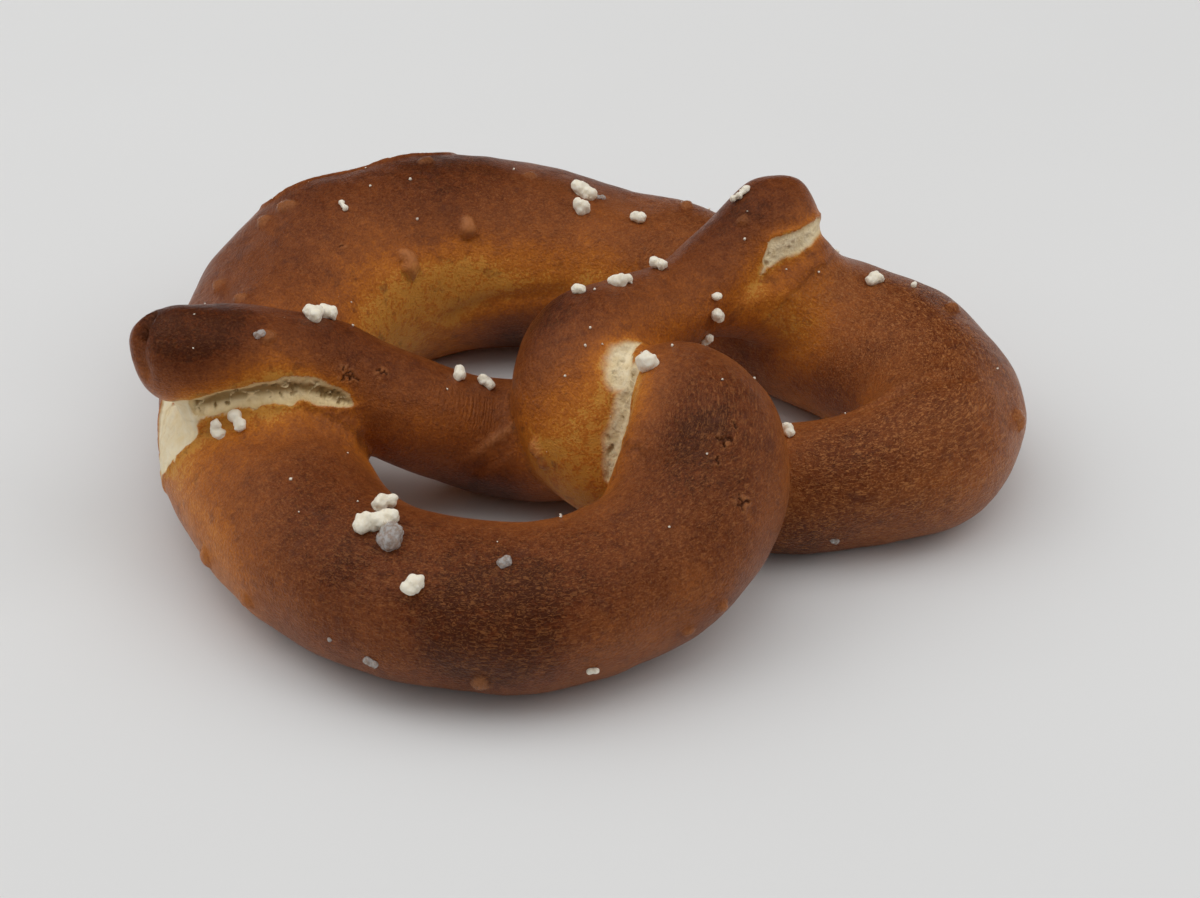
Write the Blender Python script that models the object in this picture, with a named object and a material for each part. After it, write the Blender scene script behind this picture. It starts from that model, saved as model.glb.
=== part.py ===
"""A baked soft pretzel: one rope of dough, thick at its belly and thin at its two arms.

The rope starts at the left arm's blunt end, passes under the right arm, rises over the right
loop as a dome, and makes the left loop, the belly and the right loop. It then comes out from
under the dome, curls up and over, and ends on the right shoulder. Where the strands touch
they are baked together, and where the crust tore there is a low web of crumb between them.

Frame: +Z up, Z = 0 is the surface that the pretzel rests on, -Y is the side of the two front
loops and the twist, +Y is the belly, and +X runs across the pretzel towards the right arm's end.
The origin is the centre of the underside's bounding box.
"""

import math

import bmesh
import bpy
import numpy as np
from mathutils import Matrix

MM = 0.001

SIDES = 24  # points round each ring of the rope
STEPS = 4  # rings from one station to the next
CAP_RINGS = 4  # rings that close each end
CAP_REACH = 0.9  # how far an end's cap bulges, in half heights
WEB_SIDES = 16
WEB_STEPS = 3
BLOCK_SIDE = 300 * MM  # the block that cuts the flat underside
BLOCK_DEPTH = 12 * MM
SMOOTH_ANGLE = math.radians(50)

CRUST_COLOUR = (0.15, 0.05, 0.02, 1.0)
CRUST_ROUGHNESS = 0.42

# The rope's centre line, end to end: x, y, height of the centre, half width, half height (mm)
ROUTE = (
    (-60, 38, 36, 8, 8),  # left arm's blunt end, on the left shoulder
    (-48, 34, 34.5, 8.5, 7.5),
    (-36, 31, 28, 9, 8),
    (-25, 25, 19, 10, 9.5),  # down beside the left hole
    (-12, 19, 11.5, 10.5, 10),
    (-2, 10, 12, 11.5, 11),  # under the right arm
    (7, -1, 19.5, 11, 11.5),
    (10, -11, 25.5, 10.5, 12),  # top of the dome, over the right loop's rope
    (8.5, -21, 26, 11.5, 12.5),
    (2, -28.5, 20, 13, 13.5),
    (-13, -31, 14, 14.5, 13),
    (-31, -27, 12, 15, 13),  # left loop
    (-46, -13, 12, 15.5, 13),
    (-52, 4, 12, 15.5, 13.5),
    (-51, 23, 12.5, 16.5, 14),
    (-46, 41, 13.5, 16, 15),  # left shoulder
    (-34, 57, 14.5, 18, 16),
    (-18, 68, 16, 20, 18),
    (3, 70, 16, 20, 18.5),  # belly
    (22, 61, 15, 19, 17),
    (37, 47, 13.5, 17, 15),
    (48, 31, 12.5, 15.5, 14),  # right shoulder
    (56, 13, 12.5, 15.5, 14),
    (61, -6, 12.5, 15.5, 14),
    (59, -20, 12.5, 15, 14),
    (49, -29.5, 12, 13.5, 13.5),  # right loop
    (34, -28, 10.5, 12, 12),
    (21, -19, 9.5, 11.5, 11),  # under the dome
    (9, -8, 9.5, 11.5, 10.5),
    (1, -0.5, 14.5, 12, 11),
    (0, 5.5, 22.5, 12, 11),  # the right arm curls up
    (5.5, 11.5, 27.5, 11, 10),
    (14.5, 13.5, 28, 9, 8.5),
    (27, 15, 27, 8, 8),
    (39, 18, 29, 8, 8),
    (51, 19, 34, 8.5, 8.5),  # right arm's end, on the right shoulder
)

# Webs of crumb that fill the creases where the crust tore (same five numbers, mm)
LEFT_WEB = (
    (-58, 35, 27, 6, 4),
    (-48, 32, 27, 7, 5),
    (-39, 28, 24.5, 7, 5),
    (-30, 24, 18, 5, 4),
)
CENTRE_WEB = (
    (9, 1, 27, 4, 4),
    (5, -5, 26, 6, 5),
    (2, -10, 20, 5, 5),
    (1, -12, 15, 3, 4),
)
DOME_WEB = (
    (8, -8, 31, 4, 4.5),
    (4, -13, 30.5, 5.5, 6),
    (1.8, -16, 28.5, 6, 6.5),
    (-1.5, -19.5, 25.5, 6.5, 6.5),
    (-9, -23, 18.5, 6, 5.5),
)
RIGHT_WEB = (
    (54, 16, 26, 7, 5.5),
    (47, 14.5, 25.5, 8, 6.5),
    (39, 13, 23, 7, 6),
    (32, 12.5, 22.5, 4, 4),
)


def catmull_rom(stations, steps):
    """Rows read from a smooth curve through the stations, both end stations included."""
    table = np.array(stations, float)
    ahead = 2 * table[-1] - table[-2]
    behind = 2 * table[0] - table[1]
    padded = np.vstack([behind, table, ahead])
    rows = []
    for index in range(len(table) - 1):
        before, start, end, after = padded[index:index + 4]
        for t in np.arange(steps) / steps:
            rows.append(0.5 * (
                2 * start
                + (end - before) * t
                + (2 * before - 5 * start + 4 * end - after) * t**2
                + (3 * start - before - 3 * end + after) * t**3
            ))
    rows.append(table[-1])
    return np.array(rows)


def cap_rows(end_row, outward):
    """Rows of shrinking size that round off an end, from the end towards its tip."""
    reach = CAP_REACH * end_row[4]
    rows = []
    for index in range(1, CAP_RINGS + 1):
        turn = 0.5 * math.pi * index / (CAP_RINGS + 0.5)
        centre = end_row[:3] + outward * reach * math.sin(turn)
        rows.append(np.append(centre, end_row[3:] * math.cos(turn)))
    return rows


def swept_rope(stations, steps, sides):
    """A closed body swept along the stations, with elliptical rings that stay upright."""
    body_rows = catmull_rom(stations, steps)
    tangents = np.gradient(body_rows[:, :3], axis=0)
    tangents /= np.linalg.norm(tangents, axis=1)[:, None]

    first_cap = cap_rows(body_rows[0], -tangents[0])[::-1]
    last_cap = cap_rows(body_rows[-1], tangents[-1])
    rows = np.vstack([first_cap, body_rows, last_cap])
    tangents = np.vstack([
        np.repeat(tangents[:1], CAP_RINGS, axis=0),
        tangents,
        np.repeat(tangents[-1:], CAP_RINGS, axis=0),
    ])

    mesh = bmesh.new()
    angles = np.arange(sides) * 2 * math.pi / sides
    rings = []
    for row, tangent in zip(rows, tangents):
        sideways = np.cross(tangent, (0, 0, 1))
        sideways /= np.linalg.norm(sideways)
        upward = np.cross(sideways, tangent)
        half_width, half_height = row[3:]
        ring = []
        for angle in angles:
            offset = sideways * half_width * math.cos(angle) + upward * half_height * math.sin(angle)
            ring.append(mesh.verts.new((row[:3] + offset) * MM))
        rings.append(ring)

    for ring, following in zip(rings, rings[1:]):
        for index in range(sides):
            beside = (index + 1) % sides
            mesh.faces.new((ring[index], ring[beside], following[beside], following[index]))
    mesh.faces.new(rings[0][::-1])
    mesh.faces.new(rings[-1])
    bmesh.ops.recalc_face_normals(mesh, faces=mesh.faces)
    return mesh


def new_object(name, mesh):
    """Turn a bmesh into a linked object of that name."""
    data = bpy.data.meshes.new(name)
    mesh.to_mesh(data)
    mesh.free()
    made = bpy.data.objects.new(name, data)
    bpy.context.collection.objects.link(made)
    return made


def hide_tool(tool):
    """Mark an object as a tool of the Booleans, not a piece of the pretzel."""
    tool.hide_render = True
    tool.display_type = "WIRE"


def add_boolean(target, operation, tool):
    """Join or cut the target with a tool, and fuse it where it crosses itself."""
    boolean = target.modifiers.new(tool.name, "BOOLEAN")
    boolean.operation = operation
    boolean.object = tool
    boolean.solver = "EXACT"
    boolean.use_self = True
    hide_tool(tool)


def apply_modifiers(target):
    """Replace the object's mesh with its evaluated one."""
    evaluated = target.evaluated_get(bpy.context.evaluated_depsgraph_get())
    fused = bpy.data.meshes.new_from_object(evaluated)
    target.modifiers.clear()
    target.data = fused


def resting_block():
    """A block whose top is Z = 0: cutting it away leaves the flat underside."""
    mesh = bmesh.new()
    bmesh.ops.create_cube(mesh, size=1)
    size = Matrix.Diagonal((BLOCK_SIDE, BLOCK_SIDE, BLOCK_DEPTH, 1))
    place = Matrix.Translation((0, 0, -BLOCK_DEPTH / 2))
    bmesh.ops.transform(mesh, matrix=place @ size, verts=mesh.verts)
    return new_object("resting_block", mesh)


def centre_on_origin(target):
    """Move the mesh so that the middle of its box stands over the origin."""
    points = np.array([vertex.co for vertex in target.data.vertices])
    middle = (points.min(axis=0) + points.max(axis=0)) / 2
    target.data.transform(Matrix.Translation((-middle[0], -middle[1], 0)))


def crust_material():
    """Browned crust with a soft shine."""
    material = bpy.data.materials.new("crust")
    material.use_nodes = True
    shader = material.node_tree.nodes["Principled BSDF"]
    shader.inputs["Base Color"].default_value = CRUST_COLOUR
    shader.inputs["Roughness"].default_value = CRUST_ROUGHNESS
    shader.inputs["Metallic"].default_value = 0.0
    return material


def build_pretzel():
    """The whole pretzel as one closed body."""
    pretzel = new_object("pretzel", swept_rope(ROUTE, STEPS, SIDES))
    for name, stations in (
        ("left_web", LEFT_WEB),
        ("centre_web", CENTRE_WEB),
        ("dome_web", DOME_WEB),
        ("right_web", RIGHT_WEB),
    ):
        web = new_object(name, swept_rope(stations, WEB_STEPS, WEB_SIDES))
        add_boolean(pretzel, "UNION", web)
    add_boolean(pretzel, "DIFFERENCE", resting_block())
    apply_modifiers(pretzel)
    centre_on_origin(pretzel)
    pretzel.data.materials.clear()
    pretzel.data.materials.append(crust_material())
    pretzel.data.shade_smooth()
    pretzel.data.set_sharp_from_angle(angle=SMOOTH_ANGLE)
    return pretzel


for leftover in list(bpy.data.objects):
    bpy.data.objects.remove(leftover, do_unlink=True)
build_pretzel()
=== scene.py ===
"""The looks of the soft pretzel: crust, torn crumb, blisters and salt, with floor, light and camera.

The fine crust is swept along the same route as the CAD rope, fused by a voxel remesh and then
worked like dough: tears are opened, blisters raised and folds pressed in. The browning follows how
each spot faces and where it lies along the rope, with listed spots baked darker or paler. Painted
shade darkens a few spots by the holes, some folds and the crumb's cells. Lengths are in millimetres until
a finished mesh is scaled by MM.
"""

import itertools
import math
from collections import namedtuple

import bmesh
import bpy
import numpy as np
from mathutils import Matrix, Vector
from mathutils.bvhtree import BVHTree
from mathutils.kdtree import KDTree


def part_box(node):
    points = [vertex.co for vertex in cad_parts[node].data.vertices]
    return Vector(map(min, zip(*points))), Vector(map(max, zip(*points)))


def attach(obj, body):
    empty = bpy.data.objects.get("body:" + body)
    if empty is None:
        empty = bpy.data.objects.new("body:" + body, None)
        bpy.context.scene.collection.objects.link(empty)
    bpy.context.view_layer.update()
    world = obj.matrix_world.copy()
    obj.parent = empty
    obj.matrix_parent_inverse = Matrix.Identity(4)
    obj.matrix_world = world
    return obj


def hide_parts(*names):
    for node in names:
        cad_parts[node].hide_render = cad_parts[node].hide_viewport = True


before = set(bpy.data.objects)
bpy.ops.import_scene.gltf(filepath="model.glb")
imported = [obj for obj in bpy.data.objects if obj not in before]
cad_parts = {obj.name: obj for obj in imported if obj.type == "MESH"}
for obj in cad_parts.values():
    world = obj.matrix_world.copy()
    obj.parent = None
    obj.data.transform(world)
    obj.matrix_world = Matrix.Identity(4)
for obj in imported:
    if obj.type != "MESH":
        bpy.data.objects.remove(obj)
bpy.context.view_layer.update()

MM = 0.001

# ---- the rope, as in the CAD

# x, y, height of the centre, half width, half height (mm)
ROUTE = (
    (-60, 38, 36, 8, 8),  # 0: left arm's blunt end, on the left shoulder
    (-48, 34, 34.5, 8.5, 7.5),
    (-36, 31, 28, 9, 8),
    (-25, 25, 19, 10, 9.5),
    (-12, 19, 11.5, 10.5, 10),
    (-2, 10, 12, 11.5, 11),  # 5: under the right arm
    (7, -1, 19.5, 11, 11.5),
    (10, -11, 25.5, 10.5, 12),  # 7: top of the dome
    (8.5, -21, 26, 11.5, 12.5),
    (2, -28.5, 20, 13, 13.5),
    (-13, -31, 14, 14.5, 13),
    (-31, -27, 12, 15, 13),  # 11: left loop
    (-46, -13, 12, 15.5, 13),
    (-52, 4, 12, 15.5, 13.5),
    (-51, 23, 12.5, 16.5, 14),
    (-46, 41, 13.5, 16, 15),  # 15: left shoulder
    (-34, 57, 14.5, 18, 16),
    (-18, 68, 16, 20, 18),
    (3, 70, 16, 20, 18.5),  # 18: belly
    (22, 61, 15, 19, 17),
    (37, 47, 13.5, 17, 15),
    (48, 31, 12.5, 15.5, 14),  # 21: right shoulder
    (56, 13, 12.5, 15.5, 14),
    (61, -6, 12.5, 15.5, 14),
    (59, -20, 12.5, 15, 14),
    (49, -29.5, 12, 13.5, 13.5),  # 25: right loop
    (34, -28, 10.5, 12, 12),
    (21, -19, 9.5, 11.5, 11),
    (9, -8, 9.5, 11.5, 10.5),
    (1, -0.5, 14.5, 12, 11),
    (0, 5.5, 22.5, 12, 11),  # 30: the right arm curls up
    (5.5, 11.5, 27.5, 11, 10),
    (14.5, 13.5, 28, 9, 8.5),
    (27, 15, 27, 8, 8),
    (39, 18, 29, 8, 8),
    (51, 19, 34, 8.5, 8.5),  # 35: right arm's end, on the right shoulder
)
# Webs of crumb in the creases (the same five numbers): the CAD's four
WEBS = (
    ((-58, 35, 27, 6, 4), (-48, 32, 27, 7, 5), (-39, 28, 24.5, 7, 5), (-30, 24, 18, 5, 4)),
    ((9, 1, 27, 4, 4), (5, -5, 26, 6, 5), (2, -10, 20, 5, 5), (1, -12, 15, 3, 4)),
    ((8, -8, 31, 4, 4.5), (4, -13, 30.5, 5.5, 6), (1.8, -16, 28.5, 6, 6.5),
     (-1.5, -19.5, 25.5, 6.5, 6.5), (-9, -23, 18.5, 6, 5.5)),
    ((54, 16, 26, 7, 5.5), (47, 14.5, 25.5, 8, 6.5), (39, 13, 23, 7, 6), (32, 12.5, 22.5, 4, 4)),
    # and this one, which fills the crease under the right arm's end
    ((58, 12.5, 26.5, 3.5, 3.5), (55, 10.5, 27.5, 6, 5), (50, 9, 26.5, 6, 5), (45, 8.5, 24.5, 5, 4.5),
     (41, 9, 22, 3.5, 3.5)),
)

SIDES = 72  # points round each ring of the rope
STEPS = 14  # rings from one station to the next
WEB_SIDES = 32
WEB_STEPS = 8
CAP_RINGS = 10  # rings that close each end
CAP_REACH = 0.9  # how far an end's cap bulges, in half heights
VOXEL = 1.0  # mm, the fused crust's mesh size before the marks are refined
SALT_VOXEL = 0.2  # mm, the mesh size of the fused salt grains

# ---- shaping the dough

# Smoothing of the fused skin: each pull inwards is pushed back out, so that nothing shrinks
SMOOTHING = (0.5, -0.52) * 6
MELT_ROUNDS = 90

# Where strands baked together into one smooth skin: x, y, z, radius (mm)
MELTS = (
    (58, 7, 27, 9),
    (51, 4, 26, 9),
    (44, 4.5, 22.5, 7),
    (56, 9, 24, 7),
    (48, 7, 24, 8),
    (40, 8, 22, 8),
    (34, 9, 19, 6),
    (4, -17, 32, 8),
    (-1, -22, 28, 8),
    (-7, -25, 25, 7),
    (-50, 22, 26, 7),
    (-40, 19, 24, 6),
)

# Gentle bulges and dents: x, y, z, radius, and how far the middle moves (mm)
PUSHES = (
    (-66.5, 41.5, 41, 6, -1.2, 0.5, 1.2),  # left arm's end, a lobe on each side of its fold
    (-58, 38, 44, 6, 0, 0, 0.9),
    (-55, 31, 38, 6, 0.1, -0.5, 0.3),
    (57, 20, 41, 5.5, 0.9, 0, 0.8),  # right arm's end, squared off
    (58, 19, 34, 5, -0.8, 0, 0),
    (-16, 9.5, 11, 6, -0.5, -1.0, 0.3),  # left arm, where the curl presses on it
    (46, -31, 24, 9, 0.2, -0.3, 0.9),  # right loop, in front of its pinch
    (42, -15, 22, 7, 0, 0, -0.7),  # and behind it
    (-66, -5, 11, 8, 0.6, 0.2, 0.2),  # left loop's outer side
    (-58, 51, 26, 9, -1.0, 0.8, 0.4),  # left shoulder
    (-32, -43, 8, 9, 0, 1.1, 0.6),  # left loop's lower edge
    (-67, 37, 24, 7, -0.5, 0.2, 0),  # left flank
    (-65, 38, 18, 10, -1.5, 0.2, 0),
    (-52, -33, 9, 9, 0.5, 0.5, 0),  # left loop's lower edge again
    (-20, -45, 8, 13, 0.1, 0.8, 0),
    (30, -38, 6, 12, 0.1, 2.0, 0.8),  # right loop's lower edge
    (-38, 66, 28, 13, 0.9, -0.8, -1.5),  # belly's left shoulder, straighter
    (-27, 72, 31, 11, 0.8, -1.3, -0.9),
    (-14, 80, 31, 11, 0, 0.4, 1.0),  # belly's back
    (6, 77, 32, 10, 0, 0.3, 0.9),
    (19, 70, 32, 9, 0.1, 0.2, 0.5),
    (40, 49, 29, 9, -0.4, -0.8, -1.6),  # right shoulder
    (34, 56, 29, 8, -0.1, -0.4, -0.4),
    (50, 41, 26, 8, 0.2, 0.2, 0.5),
    (49, 17, 42, 6, -0.3, 0, -0.8),  # right arm, just before its end
    (50, 9.5, 32, 5, 0.1, -1.2, -0.2),
    (-5, 52, 22, 9, 0, -0.4, 0.5),  # belly's front
    (72, -2, 20, 9, 0.6, 0, 0.7),  # right loop's outer side
    (66, -33, 14, 6, 0.6, -0.4, 0.3),
)

# Uneven swelling: how far (mm), how broad the lumps are (mm), and the noise's seed
SWELLS = ((0.50, 16, 11), (0.12, 5, 17))

# Folds pressed into the dough: half width and depth (mm; below 0 it is a ridge), paleness (below 0
# the fold's groove is darkened with painted shade, dark as char), then the points it runs through, x, y, z
FOLDS = (
    # the left arm's end: its deep fold darkened with painted shade
    (0.9, 2.8, -0.9, ((-63.0, 40.0, 43.9), (-64.8, 38.9, 43.0), (-66.4, 38.0, 41.6))),
    (1.6, 1.1, -0.2, ((-66.4, 38.0, 41.6), (-67.6, 36.6, 39), (-67.4, 35.6, 36.5))),
    (1.6, 1.3, 0, ((38.5, -22.5, 20.5), (41, -24.3, 22.6), (45.4, -26.4, 24.6))),
    (1.8, 0.6, 0, ((45.4, -26.4, 24.6), (50.1, -28.7, 25.7), (55.8, -29.9, 25.5))),
    (0.7, -0.8, 0.9, ((-11.5, 9, 19), (-14, 10, 17.5), (-17.5, 11, 15.3), (-20.5, 12.5, 14))),
    (1.0, 0.7, 0, ((-11.5, 8.4, 16.5), (-15, 8.6, 14.2), (-19, 10, 12.2))),
    (1.7, 0.8, 0, ((0, 50.5, 14.5), (7.5, 47.4, 17), (14.3, 44.2, 17.6), (19, 40.5, 18.2))),
)

# A tear: its path (x, y, z, half width), the way to the edge that stands up as a lip, how softly the
# other edge fades, its depth (mm), how cellular and warm its crumb is (its cells and holes darkened
# with painted shade), and how far its golden halo reaches (mm)
Tear = namedtuple("Tear", "path lip fade depth cells halo")
TEARS = (
    Tear(
        path=(
            (-60, 31, 30, 1.8), (-55.5, 29, 30.6, 2.2), (-51.5, 27.2, 31.2, 2.3), (-47.5, 25.3, 31.4, 2.5),
            (-44.4, 24.4, 31, 2.4), (-41, 23.4, 29.4, 2.2), (-38, 22.1, 27.6, 1.5), (-36, 21.5, 26, 0.5),
        ),
        lip=(0.1, -0.5, -0.85), fade=0.0, depth=0.8, cells=1.0, halo=1.8,
    ),  # under the left arm
    Tear(
        path=(
            (-60.5, 34, 28.5, 4), (-62, 36.5, 24.5, 6), (-63.8, 39, 20, 6.6), (-65.5, 38, 15.5, 4.4),
            (-66, 37, 12, 1),
        ),
        lip=(0.7, -0.6, -0.4), fade=0.1, depth=0.3, cells=0.06, halo=1.6,
    ),  # left flank
    Tear(
        path=((-59, 46, 22, 2.6), (-61.5, 44.5, 18, 3.6), (-64, 41.5, 14, 2.6)),
        lip=(-0.6, 0.8, 0), fade=0.1, depth=0.2, cells=0.0, halo=1.6,
    ),  # left flank, behind the arm's end
    Tear(
        path=(
            (9, 2.2, 32, 0.7), (6.8, 1.5, 32.8, 1.6), (4.4, 0.5, 32.6, 2.8), (3, -1.6, 31.8, 3.1),
            (1.6, -3.6, 31, 2.3),
        ),
        lip=(0.75, -0.6, 0.2), fade=0.6, depth=0.2, cells=0.22, halo=2.4,
    ),  # between curl and dome, upper part
    Tear(
        path=(
            (3.0, -5.8, 32.8, 2.0), (1.4, -6.9, 30.8, 2.3), (-0.4, -7.4, 27.2, 2.2), (-1.9, -7.8, 24, 2.1),
            (-3.2, -8.4, 21.6, 1.8), (-4.5, -9.3, 19, 1.4), (-5.2, -10.1, 17.2, 0.9),
        ),
        lip=(0.8, -0.6, 0.1), fade=0.5, depth=0.4, cells=0.45, halo=2.8,
    ),  # between curl and dome, lower part
    Tear(
        path=(
            (56.6, 13.3, 34.4, 1.5), (53, 11.3, 34.9, 1.9), (49, 10.8, 34.6, 2.3), (45.6, 11, 34, 2.2),
            (43.4, 10.9, 32.8, 1.4),
        ),
        lip=(0, 0.4, 0.9), fade=0.2, depth=0.3, cells=0.3, halo=1.8,
    ),  # under the right arm's end
    Tear(
        path=((42.8, 10.8, 32, 0.5), (41.6, 10.5, 30.6, 0.4), (40.6, 9.9, 29, 0.2)),
        lip=(0.6, -0.5, 0), fade=1.6, depth=0.4, cells=0.7, halo=3.0,
    ),  # and its golden tail
    Tear(
        path=(
            (-22, 80, 26, 0.6), (-15, 82.6, 30.6, 3.4), (-4, 83.8, 32.2, 4.6), (6, 82, 32.6, 4.2),
            (13, 78.5, 31.8, 2.8), (20, 75, 27, 0.8),
        ),
        lip=(0, -0.4, 0.9), fade=0.1, depth=0.7, cells=0.5, halo=1.8,
    ),  # along the belly's back
)

# Blisters: station, angle round the rope (degrees, 90 is the top), radius, height (mm), stretch
BLISTERS = (
    (17.5, 35, 2.1, 1.7, 1.5),
    (18.48, 50, 1.8, 2.0, 1.5),
    (15.9, 102, 1.4, 0.9, 1.1),
    (17.07, 108, 1.5, 0.9, 1.5),
    (16.9, 119, 1.4, 0.9, 1.2),
    (18.2, 101, 1.3, 0.6, 1.6),
    (19.05, 94, 1.3, 0.7, 1.2),
    (29.55, 174, 1.6, 1.1, 1.2),
    (29.4, 180, 1.3, 1.0, 1.4),
    (20.5, 111, 1.4, 0.8, 1.2),
    (24.5, 160, 1.8, 0.9, 1.2),
    (23.25, 122, 1.5, 0.8, 1.2),
    (13.6, -174, 1.5, 0.8, 1.3),
    (13.1, -170, 1.6, 0.8, 1.1),
    (11.35, -163, 1.7, 1.1, 1.2),
    (16.25, 128, 1.3, 0.7, 1.0),
    (1.0, 54, 1.3, 0.8, 1.0),
    (9.75, -172, 1.3, 0.9, 1.0),
    (10.0, -163, 1.2, 0.7, 1.0),
    (21.2, 150, 1.7, 0.8, 1.2),
    (18.4, 168, 2.2, 0.9, 1.3),
    (34.5, 75, 1.2, 0.6, 1.0),
)

# The way blisters sag, a little off the vertical so that even the top has a way down
DOWNWARD = np.array([0.05, 0, -1])

# Burst marks, small dark cracks: station, angle, radius (mm), number of cracks
BURSTS = (
    (8.45, 96, 1.5, 5),
    (8.3, 102, 0.7, 2),
    (8.75, 99, 0.9, 2),
    (9.1, 139, 1.4, 4),
    (2.0, 33, 1.6, 4),
    (2.12, 36, 1.0, 3),
    (2.4, 58, 1.2, 2),
    (21.0, 62, 0.8, 2),
    (16.95, 62, 0.7, 1),
)

# Noise seeds: the first mark's, and the step from each mark of that kind to the next
TEAR_SEEDS = (100, 50)
BLISTER_SEEDS = (500, 10)
BURST_SEEDS = (800, 10)

# Borders (mm) of finer mesh: round every mark, and finer again round the tears and burst marks
FINE_BORDER = 1.0
FINER_BORDER = 0.2

# How much darker (or, below 0, paler) the crust is baked at each station
BAKE_STATIONS = (0, 1, 2.5, 4, 7, 9, 11, 13, 14.5, 16, 18, 20, 21.5, 23, 24.5, 26, 28, 31, 33, 35)
BAKE_SHIFT = (
    0.20, 0.04, 0.04, 0.00, -0.07, 0.01, -0.04, 0.06, -0.17, -0.08,
    0.02, -0.10, -0.14, 0.0, -0.10, 0.04, -0.25, 0.0, -0.06, -0.02,
)

# The browning (0 hardly baked, 1 scorched): its middle before and after the contrast is set
BROWN_MIDDLE = (0.45, 0.465)
BROWN_CONTRAST = 1.12

# Spots baked darker (or, below 0, paler), a few of them darker with painted shade under strands by the
# holes: station, angle, radius (mm), shift
SPOTS = (
    (0.3, 38, 8.5, 0.50),
    (0.0, -30, 7, -0.16),
    (1.0, -20, 9, -0.50),
    (2.0, -16, 8, -0.30),
    (1.7, 40, 8, 0.16),
    (1.9, 32, 6, 0.16),
    (4.1, 85, 7, -0.14),
    # painted shade: the left arm's underside, facing the left hole
    (4.2, -34, 8, 0.72),
    (5.0, 0, 8, -0.12),
    (7.3, 20, 7, -0.32),
    (8.3, 60, 8, 0.42),
    (12.4, 140, 9, 0.12),
    (11.1, 55, 8, -0.14),
    (11.3, 156, 12, 0.58),
    (13.0, 88, 8, 0.16),
    (13.2, 180, 14, -0.34),
    (14.2, 135, 12, -0.40),
    (14.2, 55, 8, 0.14),
    (14.3, 88, 9, 0.12),
    (17.2, 8, 14, -0.32),
    (18.7, 5, 9, -0.26),
    (18.2, 95, 16, 0.12),
    # painted shade: the belly's underside, facing the hole
    (19.1, -28, 8, 0.90),
    (19.6, 45, 10, -0.12),
    # painted shade: low on the inner side, by the right hole (this row and the next)
    (21.7, -4, 8, 0.60),
    (23.0, 3, 6.5, 0.52),
    (24.0, 32, 6, 0.10),
    (23.0, -32, 7, -0.20),
    (22.3, 45, 8, -0.15),
    (26.7, -148, 9, 0.50),
    (26.2, 160, 7, 0.14),
    (27.3, 108, 9, -0.74),
    (27.2, 178, 6, -0.20),
    (29.3, 160, 10, -0.34),
    (30, 75, 9, -0.18),
    (30.4, 150, 7, 0.18),
    (31, 132, 7, 0.40),
    (31.3, 10, 8, -0.22),
    (33.9, -4, 5, -0.12),
    (34.6, -15, 9, -0.12),
    (34.5, 100, 8, 0.20),
)

# How much of the crust is flecked with paler skin, at each station
FLECK_STATIONS = (0, 6, 8, 11, 14, 16, 18, 20, 22, 25, 27, 29, 34)
FLECKS = (0.15, 0.20, 0.45, 0.45, 0.35, 0.25, 0.25, 0.45, 0.80, 0.95, 0.85, 0.25, 0.15)

# Wrinkled skin: the stations where it starts, is strongest and ends, and the same for angles
WRINKLES = ((2.7, 3.6, 4.4), (15, 55, 95))

# White salt: station, angle, length, width (mm), number of lumps
WHITE_SALT = (
    (1.55, 97, 3.9, 3.4, 3),
    (1.78, 112, 4.2, 3.4, 3),
    (14.3, 119, 4.6, 2.6, 4),
    (14.22, 107, 4.6, 2.8, 4),
    (12.4, 74, 4.8, 3.2, 4),
    (12.3, 93, 7.4, 3.6, 6),
    (11.8, 128, 3.3, 3.0, 3),
    (19.55, 74, 3.2, 3.0, 3),
    (19.6, 90, 5.4, 3.0, 5),
    (20.15, 78, 2.8, 2.6, 2),
    (31.25, 108, 2.8, 2.2, 2),
    (31.85, 97, 3.8, 2.8, 3),
    (32.1, 95, 2.2, 2.0, 2),
    (32.75, 101, 4.0, 2.6, 3),
    (33.16, 28, 2.0, 1.9, 2),
    (33.1, 5, 3.8, 2.6, 2),
    (33.02, -30, 3.2, 2.0, 2),
    (6.98, 60, 3.8, 3.6, 4),
    (22.6, 96, 3.8, 2.8, 4),
    (22.85, 112, 2.0, 1.2, 2),
    (3.35, 92, 3.2, 2.8, 3),
    (3.8, 93, 3.6, 2.4, 3),
    (26.75, 86, 3.6, 2.4, 3),
    (34.8, 108, 5.0, 1.8, 4),
    (17.3, 81, 3.2, 1.3, 3),
    (22.0, 117, 3.0, 1.4, 3),
    (10.75, -164, 2.6, 1.6, 2),
)

SALT_SEED = 500  # each grain's shape comes from this and its place

# Clear salt, half sunk in the crust (the same five numbers)
CLEAR_SALT = (
    (12.05, 102, 4.4, 4.2, 4),
    (11.2, 105, 2.4, 2.0, 2),
    (12.0, -170, 2.6, 1.8, 3),
    (12.25, -177, 1.4, 1.2, 1),
    (0.95, 55, 2.0, 1.8, 2),
    (19.75, 95, 3.0, 1.6, 2),
    (26.3, -156, 2.4, 1.6, 2),
)

# Specks of salt dust strewn over the top
DUST_COUNT = 60
DUST_SIZES = (0.45, 0.75)  # mm, smallest and largest
DUST_ANGLES = (90, 38)  # middle and spread
DUST_SEED = 7

# The crust's colours, from hardly baked to scorched
CRUST_COLOURS = (
    (0.00, (0.64, 0.285, 0.045)),
    (0.05, (0.58, 0.192, 0.022)),
    (0.20, (0.46, 0.134, 0.014)),
    (0.40, (0.30, 0.082, 0.015)),
    (0.60, (0.20, 0.051, 0.011)),
    (0.80, (0.125, 0.026, 0.005)),
    (1.00, (0.050, 0.008, 0.001)),
)
FLECK_COLOUR = (0.43, 0.165, 0.05)
SCORCH_COLOUR = (0.075, 0.020, 0.012)
THIN_SKIN_COLOUR = (0.46, 0.18, 0.065)
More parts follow.
